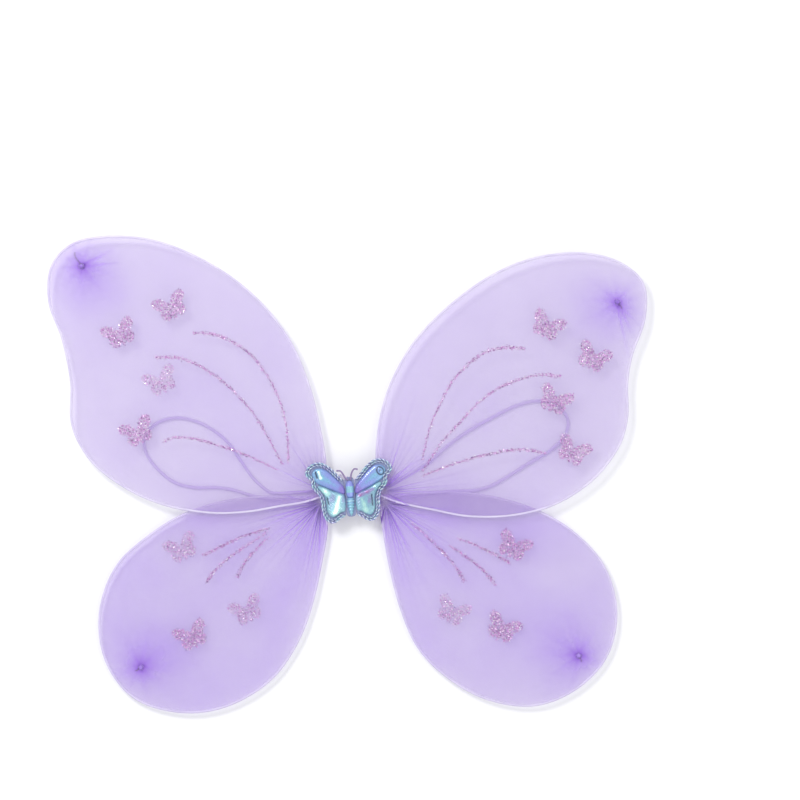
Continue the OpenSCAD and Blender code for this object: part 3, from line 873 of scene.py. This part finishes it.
FILM = glitter_film()
# Glitter butterflies that have lost some of their flakes
FADED = [(-149, 90), (-133, -40.5), (-82, -89), (78, -90)]
FLAKE = glitter_flake()


def cloth_height(cloth):
    """A function that gives the front layer's height over any point."""
    tree = KDTree(len(cloth))
    for i, p in enumerate(cloth):
        tree.insert((p[0], p[1], 0), i)
    tree.balance()
    return lambda xy: np.array([cloth[tree.find((x, y, 0))[1], 2] for x, y in xy])


def glitter(node, wing, seed, rate, height, darker=0.0):
    """A thin pool of clear glue, with rate flakes to a square mm lying in it at all angles."""
    co, tri = cad_mesh(node)
    _, flat = face_loops(node)
    low = co[:, 2].min()
    pool_z = height(co[:, :2]) + 0.05 * MM + 0.45 * (co[:, 2] - low)
    pool = mesh_object(node + "_glue", np.column_stack([co[:, :2], pool_z]), tri, FILM, smooth=False)
    place(pool, wing + "_wing", "glitter", node)
    rng = np.random.default_rng(seed)
    sizes = np.linalg.norm(np.cross(flat[:, 1] - flat[:, 0], flat[:, 2] - flat[:, 0]), axis=1) / 2
    count = int(sizes.sum() / (MM * MM) * rate)
    pick = rng.choice(len(flat), count, p=sizes / sizes.sum())
    u, v = rng.random((2, count))
    over = u + v > 1
    u[over], v[over] = 1 - u[over], 1 - v[over]
    a, b, c = flat[pick, 0], flat[pick, 1], flat[pick, 2]
    at = a + (b - a) * u[:, None] + (c - a) * v[:, None]
    at[:, :2] += rng.normal(0, 0.42 * MM, (count, 2))
    at[:, 2] = height(at[:, :2]) + rng.uniform(0.22, 0.42, count) * MM
    for x, y in FADED:
        worn = np.linalg.norm(at[:, :2] - np.array((x, y)) * MM, axis=1) < 18 * MM
        at[worn & (rng.random(count) < 0.6), 2] = -1
    at = at[at[:, 2] > 0]
    count = len(at)
    size = rng.uniform(0.24, 0.44, count) * MM
    tilt = rng.normal(0, 0.42, (count, 2))
    spin = rng.uniform(0, math.pi, count)
    hexagon = np.arange(6) * math.pi / 3
    ex = size[:, None] * np.cos(hexagon + spin[:, None])
    ey = size[:, None] * np.sin(hexagon + spin[:, None])
    ez = np.clip(ex * tilt[:, :1] + ey * tilt[:, 1:], -0.25 * MM, 0.25 * MM)
    points = (at[:, None, :] + np.stack([ex, ey, ez], axis=2)).reshape(-1, 3)
    faces = np.arange(count * 6).reshape(-1, 6)
    tone = rng.beta(2.2, 2.0, count) - darker
    tone = tone + (rng.random(count) > 0.9) * 0.5
    tone = np.clip(tone - (rng.random(count) > 0.88) * 0.5, 0, 1)
    flakes = mesh_object(node + "_flakes", points, faces, FLAKE, smooth=False,
                         floats={"tone": np.repeat(tone, 6)})
    place(flakes, wing + "_wing", "glitter")


for i, wing in enumerate(WINGS):
    hoop(wing)
    over = cloth_height(sleeve(wing))
    root_wrap(wing)
    tip_knot(wing)
    glitter(wing + "_butterflies", wing, 200 + i, 2.0, over)
    glitter(wing + "_veins", wing, 300 + i, 1.9, over, 0.14)


# --- hub ---

def pillow(name, outline, levels, material, rings, dome=0.0, shape=None, floats=None):
    """A slab on a closed outline. levels are (inset, height) from the lower edge to the upper one, and the
    top then rises by dome to the middle. shape(xy, share) adds height: share is 1 at the edge, 0 inside."""
    n = len(outline)
    mid = outline[:, :2].mean(0)
    t = tangents(outline[:, :2], closed=True)
    way = runs_left(outline)
    inward = way * np.stack([-t[:, 1], t[:, 0]], axis=1)
    rows, share = [], []
    for inset, z in levels:
        rows.append(np.column_stack([outline[:, :2] + inward * inset, np.full(n, z)]))
        share.append(np.ones(n))
    edge = rows[-1][:, :2]
    for k in range(1, rings):
        s = 1 - k / rings
        xy = mid + s * (edge - mid)
        rise = dome * math.sqrt(max(1 - s**2.4, 0))
        more = shape(xy, s) if shape else np.zeros(n)
        rows.append(np.column_stack([xy, levels[-1][1] + rise + more]))
        share.append(np.full(n, s))
    centre = levels[-1][1] + dome + (float(np.mean(shape(mid[None, :], 0.0))) if shape else 0.0)
    points = np.vstack(rows + [[[*mid, centre]], [[*mid, levels[0][1]]]])
    top = len(rows) * n
    k = np.arange(n)
    faces = [list(f) for f in grid_faces(len(rows), n, wrap=True)]
    faces += [[top - n + i, top - n + (i + 1) % n, top] for i in k] + [[(i + 1) % n, i, top + 1] for i in k]
    if way < 0:
        faces = flipped(faces)
    values = {key: f(points) for key, f in (floats or {}).items()}
    return mesh_object(name, points, faces, material, floats=values)


def rough_edge(outline, amount, seed, waves=9):
    """The outline with uneven bulges of about amount."""
    rng = np.random.default_rng(seed)
    a = full_turn(len(outline))
    w = sum(rng.uniform(0.3, 1) * np.sin(k * a + rng.uniform(0, 6)) for k in range(2, waves)) / waves
    return moved_left(outline, amount * w * 2, closed=True)


FELT = felt()
GLUE = hot_glue()
RIBBON = satin_ribbon()
STEEL = bare_wire()
PALE_THREAD = sewing_thread("pale_thread", (0.62, 0.52, 0.82), (0.36, 0.26, 0.56))
HUB_Z = (UPPER_Z + LOWER_Z) / 2
STITCHES = 46
RIBBON_PITCH = 5.2 * MM
RIBBON_SIDES = 96
TWIST_PITCH = 9 * MM
NECK_SIDES = 90
NECK_FOLDS = 13


def felt_pad():
    """The oval back pad, with stitches over its rim."""
    loops, _ = face_loops("back_pad")
    outline = spaced(loops[0], 220, closed=True)
    lo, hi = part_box("back_pad")
    hairy = rough_edge(outline, 0.25 * MM, 4, 40)

    def wavy(xy, share):
        return 0.06 * MM * np.sin(xy[:, 0] / (1.7 * MM)) * np.sin(xy[:, 1] / (1.3 * MM))

    levels = [(0.5 * MM, lo.z), (0.1 * MM, lo.z + 0.25 * MM), (0, lo.z + 0.8 * MM),
              (0.15 * MM, hi.z - 0.3 * MM), (0.6 * MM, hi.z - 0.05 * MM)]
    place(pillow("felt_pad", hairy, levels, FELT, 24, shape=wavy), "hub", "felt", "back_pad")
    inner = spaced(moved_left(outline, 1.5 * MM * runs_left(outline), closed=True), STITCHES, closed=True)
    outer = outline[np.linspace(0, len(outline), STITCHES, endpoint=False).astype(int), :2]
    parts = []
    for foot in inner[:, :2]:
        near = outer[np.linalg.norm(outer - foot, axis=1).argmin()]
        middle = 0.5 * foot + 0.5 * near
        path = catmull([[*foot, hi.z - 0.1 * MM], [*middle, hi.z + 0.16 * MM], [*near, (lo.z + hi.z) / 2],
                        [*middle, lo.z + 0.16 * MM], [*foot, lo.z + 0.25 * MM]], 5)
        parts.append(free_tube(path, 0.2 * MM, 6))
    place(joined("pad_stitches", parts, PALE_THREAD), "hub", "thread")


def glue_blob(name, node, seed):
    loops, _ = face_loops(node)
    lo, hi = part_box(node)
    outline = rough_edge(spaced(loops[0], 140, closed=True), 0.7 * MM, seed)
    h = hi.z - lo.z
    levels = [(0.1 * MM, lo.z), (-0.25 * MM, lo.z + 0.3 * h), (0.0, lo.z + 0.75 * h), (0.5 * MM, hi.z)]
    place(pillow(name, outline, levels, GLUE, 10), "hub", "glue", node)


def binding():
    """Ribbon wound round and round the wires, each turn lying over the last one's edge."""
    lo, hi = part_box("ribbon_binding")
    mid, half = (lo + hi) / 2, (hi - lo) / 2
    a = full_turn(RIBBON_SIDES)
    y, z = box_profile(half.y, half.z, 5.0, a)
    rows = []
    for x in np.linspace(lo.x, hi.x, 150):
        lean = x + 1.1 * MM * np.sin(a) + RIBBON_PITCH * a / (2 * math.pi)
        share = (lean / RIBBON_PITCH) % 1.0
        lap = 0.24 * MM * (share - 1) + 0.10 * MM * bell(share - 0.97, 0.05)
        crinkle = 0.05 * MM * np.sin(a * 14 + share * 3)
        scale = 1 + (lap + crinkle) / np.hypot(y, z)
        rows.append(np.column_stack([np.full(RIBBON_SIDES, x), mid.y + y * scale, mid.z + z * scale]))
    # The ends close in steps: (distance in from the end in mm, size)
    for inset, size in ((0.2, 0.80), (1.4, 0.74), (1.6, 0.30), (1.7, 0.01)):
        y, z = box_profile(half.y * size, half.z * size, 5.0, a)
        for x, at in ((hi.x - inset * MM, len(rows)), (lo.x + inset * MM, 0)):
            rows.insert(at, np.column_stack([np.full(RIBBON_SIDES, x), mid.y + y, mid.z + z]))
    faces = flipped(tube_faces(len(rows), RIBBON_SIDES))
    place(mesh_object("wound_ribbon", np.vstack(rows), faces, RIBBON), "hub", "ribbon", "ribbon_binding")


def twisted_wires(name, node):
    """The stems of two hoops, twisted together."""
    lo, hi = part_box(node)
    parts = []
    x = np.linspace(lo.x + 0.1 * MM, hi.x - 0.1 * MM, 150)
    for start in (0, math.pi):
        a = start + 2 * math.pi * x / TWIST_PITCH
        line = np.column_stack([x, (lo.y + hi.y) / 2 + 0.85 * MM * np.cos(a), HUB_Z + 0.85 * MM * np.sin(a)])
        parts.append(free_tube(line, WIRE_R, 12))
    place(joined(name, parts, STEEL), "hub", "steel", node)


def root_gather(side, level, part, first, last):
    """The bunched neck of a sleeve, from x = first to last in mm: the part from the binding to the thread tie
    is hung on no body, and the part inside and past the tie moves with its wing."""
    wing = level + "_" + side_name(side)
    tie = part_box(wing + "_root_tie")
    z1, y1 = wing_z(wing), (tie[0].y + tie[1].y) / 2
    x = np.linspace(first * MM, last * MM, 40)
    share = (x - 10.6 * MM) / (11.9 * MM)
    z = HUB_Z + (z1 - HUB_Z) * np.clip(share * 2.2, 0, 1)
    neck = bell(x - 18.3 * MM, 1.5 * MM)
    flare = np.clip((x - 19.6 * MM) / (3 * MM), 0, 1)
    half_y = (2.35 - 0.75 * neck + 0.55 * flare) * MM
    half_z = (1.45 - 0.60 * neck - 0.5 * flare) * MM
    a = full_turn(NECK_SIDES)
    waver = 0.5 * np.sin(3 * a + WINGS.index(wing))
    rows = []
    for i in range(len(x)):
        y, h = box_profile(half_y[i], half_z[i], 2.6, a)
        fold = 1 + (0.12 - 0.05 * neck[i]) * np.sin(NECK_FOLDS * a + waver + 1.2 * share[i])
        rows.append(np.column_stack([np.full(NECK_SIDES, side * x[i]), y1 + y * fold, z[i] + h * fold]))
    faces = tube_faces(len(rows), NECK_SIDES)
    if side > 0:
        faces = flipped(faces)
    piece = mesh_object(wing + "_" + part, np.vstack(rows), faces, GATHER)
    if part == "neck":
        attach(piece, wing + "_wing")
        return
    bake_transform(piece)


felt_pad()
glue_blob("rear_glue_blob", "rear_glue", 11)
glue_blob("front_glue_blob", "front_glue", 12)
binding()
twisted_wires("upper_twist", "upper_wire_twist")
twisted_wires("lower_twist", "lower_wire_twist")
for side in (-1, 1):
    for level in ("upper", "lower"):
        root_gather(side, level, "gather", 10.6, 16.9 if level == "upper" else 15.35)
        root_gather(side, level, "neck", 17.05, 22.5)


# --- butterfly applique ---
# Its outlines are in mm about its own middle, for the right half where a half is meant

PATCH_MID = np.array([-1.5, 3.9])
PATCH_TURN = math.radians(4)
HALF_EDGE = [
    (5, 10.6), (8.5, 14.5), (14, 20.4), (20, 24.4), (26, 24.8), (31.6, 21.8), (34, 17), (32.4, 13.2),
    (29.8, 10.6), (29.8, 7), (27.8, 3), (24.6, -1), (23.2, -6), (22.9, -12), (21.6, -18), (18.6, -22),
    (15, -23.4), (11, -22.2), (7.8, -19.8), (5, -18.7),
]
UPPER_PUFF = [
    (5.2, -0.4), (13, 3), (21, 7), (25, 9.4), (27, 12.8), (28, 16), (25.6, 19), (21, 19.2), (16.5, 16.6),
    (11.5, 11.6), (7, 6.6), (5.2, 4),
]
LOWER_PUFF = [
    (5.2, -2.6), (5.2, -13), (8.4, -14.6), (11.6, -16.8), (14.6, -18), (16.8, -16), (18.2, -12.4),
    (18.4, -7), (19.2, -2), (21.8, 2.2), (24, 5), (22.6, 5.8), (13, 1),
]
# (place along the middle line, half width)
THORAX = [(9.2, 0.0), (8.8, 1.5), (7, 2.7), (4, 3.2), (0, 3.1), (-3, 2.6), (-4.1, 1.9)]
ABDOMEN = [(-4.4, 2.9), (-6, 3.25), (-10, 3.0), (-14, 2.2), (-17, 1.2), (-18.4, 0.1)]
LEFT_ANTENNA = [(-1.3, 9.6), (-3.2, 11.8), (-4.6, 14.6), (-6.4, 17), (-9.4, 17.4)]
RIGHT_ANTENNA = [(1.1, 9.6), (1.5, 12.2), (2.6, 15.6), (4.6, 17.9), (7.2, 17.4)]
BACKING_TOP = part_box("patch_left_backing")[1].z
RIB_PITCH = 1.15
RING_PITCH = 2.33


def to_row(uv):
    """From the applique's own frame, in mm, to the scene's frame in metres."""
    uv = np.asarray(uv, float)
    c, s = math.cos(PATCH_TURN), math.sin(PATCH_TURN)
    out = uv.copy()
    out[..., 0] = (PATCH_MID[0] + c * uv[..., 0] - s * uv[..., 1]) * MM
    out[..., 1] = (PATCH_MID[1] + s * uv[..., 0] + c * uv[..., 1]) * MM
    return out


def to_patch(xy):
    """The other way round: from the scene's frame to the applique's own."""
    c, s = math.cos(PATCH_TURN), math.sin(PATCH_TURN)
    d = np.asarray(xy)[:, :2] / MM - PATCH_MID
    return np.column_stack([c * d[:, 0] + s * d[:, 1], -s * d[:, 0] + c * d[:, 1]])


def film(name, *stops):
    """Foil cloth: its colour follows the tone that each pad is given, painted highlights included, with a
    slow drift.
    """
    s = Shader(name)
    drift = s.noise(0.006, 2.0, distortion=1.2)
    fine = s.noise(0.0007, 4.0)
    tone = s.math("ADD", s.attribute("tone"), s.math("MULTIPLY", s.math("SUBTRACT", drift, 0.5), 0.45))
    colour = s.ramp(tone, *stops)
    s.set(Base_Color=s.mix(s.attribute("mark"), colour, (0.02, 0.04, 0.09)), Metallic=0.3)
    s.set(Roughness=s.math("MULTIPLY_ADD", fine, 0.16, 0.2), Coat_Weight=0.7, Coat_Roughness=0.08)
    s.bump(fine, 0.00005, 0.5)
    return s.material


# the near-white top stops of these ramps give the painted highlights
PUFF = film("puff_film", (0.0, (0.26, 0.17, 0.56)), (0.35, (0.25, 0.31, 0.70)), (0.7, (0.22, 0.44, 0.68)),
            (0.88, (0.26, 0.62, 0.66)), (1.0, (0.80, 0.98, 0.94)))
RIBBED = film("ribbed_film", (0.0, (0.36, 0.13, 0.34)), (0.16, (0.28, 0.26, 0.52)),
              (0.42, (0.26, 0.48, 0.60)), (0.7, (0.40, 0.70, 0.68)), (1.0, (0.92, 1.0, 0.97)))
BODY = film("body_film", (0.0, (0.22, 0.14, 0.48)), (0.4, (0.27, 0.33, 0.78)), (0.7, (0.26, 0.56, 0.66)),
            (1.0, (0.85, 0.97, 0.96)))
BACKING = patch_backing()
SILVER = iridescent_film("silver_ply", 0.006, 0.22, (0.3, (0.40, 0.70, 0.72)), (0.5, (0.66, 0.76, 0.86)),
                         (0.7, (0.56, 0.50, 0.82)))
LILAC = iridescent_film("lilac_ply", 0.005, 0.3, (0.3, (0.13, 0.12, 0.30)), (0.5, (0.22, 0.26, 0.50)),
                        (0.7, (0.25, 0.44, 0.54)))
ANTENNA = sewing_thread("antenna_cord", (0.36, 0.26, 0.48), (0.12, 0.08, 0.20))


# Edging ropes in mm: how far inside the rim, radius, height, twist pitch; and the points cut off each end
ROPES = [(0.9, 0.9, 15.1, 3.4, 0), (2.6, 0.7, 14.9, 2.8, 6)]


def mirrored(side, route):
    return [(side * u, v) for u, v in route]


def half_ropes(side):
    """Two-ply edging ropes: the outer one on the rim and a thinner one inside it."""
    name = side_name(side)
    body = "patch_%s_half" % name
    rim = catmull(mirrored(side, HALF_EDGE), 12)
    rim = np.column_stack([rim, np.zeros(len(rim))])
    parts = {SILVER: [], LILAC: []}
    for inset, radius, height, pitch, cut in ROPES:
        core = moved_left(rim, -side * inset)[cut:len(rim) - cut]
        core = spaced(core, int(length_of(core) / 0.24))
        core[:, :2] = to_row(core[:, :2])
        core[:, 2] = height * MM
        n, b = frames(core)
        run = np.linspace(0, length_of(core), len(core))
        for i, material in enumerate(parts):
            a = 2 * math.pi * run / (pitch * MM) + math.pi * i
            ply = core + 0.46 * radius * MM * (np.cos(a)[:, None] * n + np.sin(a)[:, None] * b)
            parts[material].append(free_tube(ply, 0.54 * radius * MM, 9))
    place(joined(name + "_edging_silver", parts[SILVER], SILVER), body, "edging", "patch_%s_edging" % name)
    place(joined(name + "_edging_lilac", parts[LILAC], LILAC), body, "edging")


def from_ring(uv, at, half, turn):
    """0 at the middle of a turned ellipse, and 1 on its outline."""
    d = uv - np.array(at)
    c, s = math.cos(turn), math.sin(turn)
    return np.hypot((c * d[:, 0] + s * d[:, 1]) / half[0], (-s * d[:, 0] + c * d[:, 1]) / half[1])


def stroke(uv, a, b, wide):
    """1 along the line from a to b, falling to 0 beside it."""
    a, b = np.array(a, float), np.array(b, float)
    t = np.clip(((uv - a) @ (b - a)) / ((b - a) @ (b - a)), 0, 1)
    return bell(np.linalg.norm(uv - a - t[:, None] * (b - a), axis=1), wide)


def marks(uv, side, upper):
    """Dark lines pressed into the pads."""
    if upper and side > 0:
        out = from_ring(uv, (24.6, 15.2), (2.5, 3.1), 0.5)
        return np.maximum(bell(out - 1, 0.22), bell(out, 0.3))
    if upper:
        return stroke(uv, (-25.8, 17.6), (-24.6, 12.6), 0.75)
    if side > 0:
        return stroke(uv, (16.8, -3), (17, -11), 0.6)
    return stroke(uv, (-18, -3), (-17.2, -8), 0.45)


def tones(uv, side, upper):
    """Where each point of a pad lies on its film's run of colours; the bright strokes are painted highlights.
    """
    u, v = np.abs(uv[:, 0]), uv[:, 1]
    if upper:
        tone = 0.10 + 0.022 * (u - 5) + 0.08 * bell(v - 12, 5)
        # painted highlight: a bright streak across each upper pad, and on the left one a white-mint streak by
        # its tip
        painted_highlight = stroke(uv, (side * 10, 5), (side * 21, 13), 1.6) * 0.22
        if side < 0:
            painted_highlight = painted_highlight + 0.75 * stroke(uv, (-23.2, 17.4), (-22.2, 12.4), 1.0)
        return np.clip(tone + painted_highlight, 0, 1)
    tone = 0.42 + 0.10 * np.sin(v / 3.1) + 0.05 * np.sin(u / 1.3)
    if side < 0:
        # painted highlights: bright strokes on the left lower pad
        tone = tone + 0.6 * stroke(uv, (-8.5, -3), (-12.5, -15), 1.7)
        tone = tone + 0.3 * stroke(uv, (-17, 0), (-20, 3), 2.0)
    else:
        # painted highlight; the darker stroke after it is the film's own red-violet streak
        tone = tone + 0.25 * stroke(uv, (9, -6), (12, -15), 1.5)
        tone = tone - 0.34 * stroke(uv, (8, -2.4), (18, 1.6), 1.6)
    return np.clip(tone, 0, 1)


def puff(side, level, route, film_cloth, rings):
    """One padded half of a butterfly wing, with puckers at its rim, and fine ribs on the lower ones."""
    upper = level == "upper"
    name = side_name(side)
    node = "patch_%s_%s_puff" % (name, level)
    outline = spaced(catmull(mirrored(side, route), 14, closed=True), 200, closed=True)
    outline = np.column_stack([to_row(outline), np.zeros(len(outline))])
    outline = moved_left(outline, -0.7 * MM * runs_left(outline), closed=True)
    z = BACKING_TOP
    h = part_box(node)[1].z - z

    def shape(xy, share):
        uv = to_patch(xy)
        rib = 0
        if not upper:
            along = uv[:, 1] + 0.35 * np.abs(uv[:, 0])
            rib = 0.16 * np.sin(2 * math.pi * along / RIB_PITCH) * (1 - share**6)
        pucker = 0.16 * share**3 * np.sin(uv[:, 0] * 2.3) * np.sin(uv[:, 1] * 2.7)
        return (-0.55 * marks(uv, side, upper) * (1 - share**8) + rib + pucker) * MM

    def tone(points):
        return tones(to_patch(points), side, upper)

    def mark(points):
        return np.clip(marks(to_patch(points), side, upper), 0, 1)

    levels = [(0, z), (0.0, z + 0.25 * h), (0.25 * MM, z + 0.45 * h), (0.8 * MM, z + 0.62 * h)]
    piece = pillow(name + "_" + level + "_pad", outline, levels, film_cloth, rings, 0.40 * h, shape,
                   floats={"tone": tone, "mark": mark})
    place(piece, "patch_%s_half" % name, "puff_film", node)


def backing(name, node, body):
    """A piece of the felt under the patch."""
    loops, _ = face_loops(node)
    lo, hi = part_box(node)
    outline = spaced(loops[0], 240, closed=True)
    levels = [(0.2 * MM, lo.z), (0, lo.z + 0.25 * MM), (0, hi.z - 0.25 * MM), (0.2 * MM, hi.z)]
    place(pillow(name, outline, levels, BACKING, 10), body, "backing", node)


def segment(name, node, profile, ribs, tone_from, tone_to):
    """A rounded body part: rings along the applique's middle line, flat underneath."""
    v = np.linspace(profile[0][0], profile[-1][0], 120)
    r = np.interp(v, [p[0] for p in profile[::-1]], [p[1] for p in profile[::-1]])
    widest = r.max()
    r = np.maximum(r * (1 - ribs * (0.5 - 0.5 * np.cos(2 * math.pi * (v - v[0]) / RING_PITCH))), 0.02)
    a = np.linspace(0, math.pi, 28)
    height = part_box(node)[1].z - BACKING_TOP
    rows = []
    for vi, ri in zip(v, r):
        uv = np.column_stack([ri * np.cos(a), np.full(len(a), vi)])
        rows.append(np.column_stack([to_row(uv), BACKING_TOP + height * ri / widest * np.sin(a)]))
    points = np.vstack(rows)
    n = len(a)
    faces = [list(f) for f in grid_faces(len(v), n)]
    faces += [[(i + 1) * n, i * n, i * n + n - 1, (i + 1) * n + n - 1] for i in range(len(v) - 1)]
    faces += [list(range(n))[::-1], [(len(v) - 1) * n + k for k in range(n)]]
    if profile[0][0] > profile[-1][0]:
        faces = flipped(faces)
    # painted highlight: the rings at the body's widest, on the abdomen the rib crests there, get a lighter
    # tone
    tone = np.repeat(np.linspace(tone_from, tone_to, len(v)) + 0.25 * (r / widest > 0.96), n)
    piece = mesh_object(name, points, faces, BODY,
                        floats={"tone": np.clip(tone, 0, 1), "mark": np.zeros(len(points))})
    bm = bmesh.new()
    bm.from_mesh(piece.data)
    bmesh.ops.recalc_face_normals(bm, faces=bm.faces)
    bm.to_mesh(piece.data)
    bm.free()
    place(piece, "hub", "body_film", node)


def antennae():
    """Two curled cords, a little thicker at their ends."""
    parts = []
    for route in (LEFT_ANTENNA, RIGHT_ANTENNA):
        line = catmull(route, 22)
        line = np.column_stack([to_row(line), np.full(len(line), BACKING_TOP + 0.5 * MM)])
        share = np.linspace(0, 1, len(line))
        radius = (0.72 - 0.16 * share + 0.22 * bell(share - 0.95, 0.05)) * MM
        radius = radius * (1 + 0.06 * np.sin(share * 90))
        parts.append(free_tube(line, radius, 12))
    place(joined("antenna_pair", parts, ANTENNA), "hub", "antenna", "patch_antennae")


for side in (-1, 1):
    name = side_name(side)
    half_ropes(side)
    puff(side, "upper", UPPER_PUFF, PUFF, 34)
    puff(side, "lower", LOWER_PUFF, RIBBED, 60)
    backing(name + "_felt_half", "patch_%s_backing" % name, "patch_%s_half" % name)
backing("spine_felt", "patch_spine_backing", "hub")
segment("thorax", "patch_thorax", THORAX, 0.0, 0.25, 0.5)
segment("abdomen", "patch_abdomen", ABDOMEN, 0.22, 0.6, 0.75)
antennae()
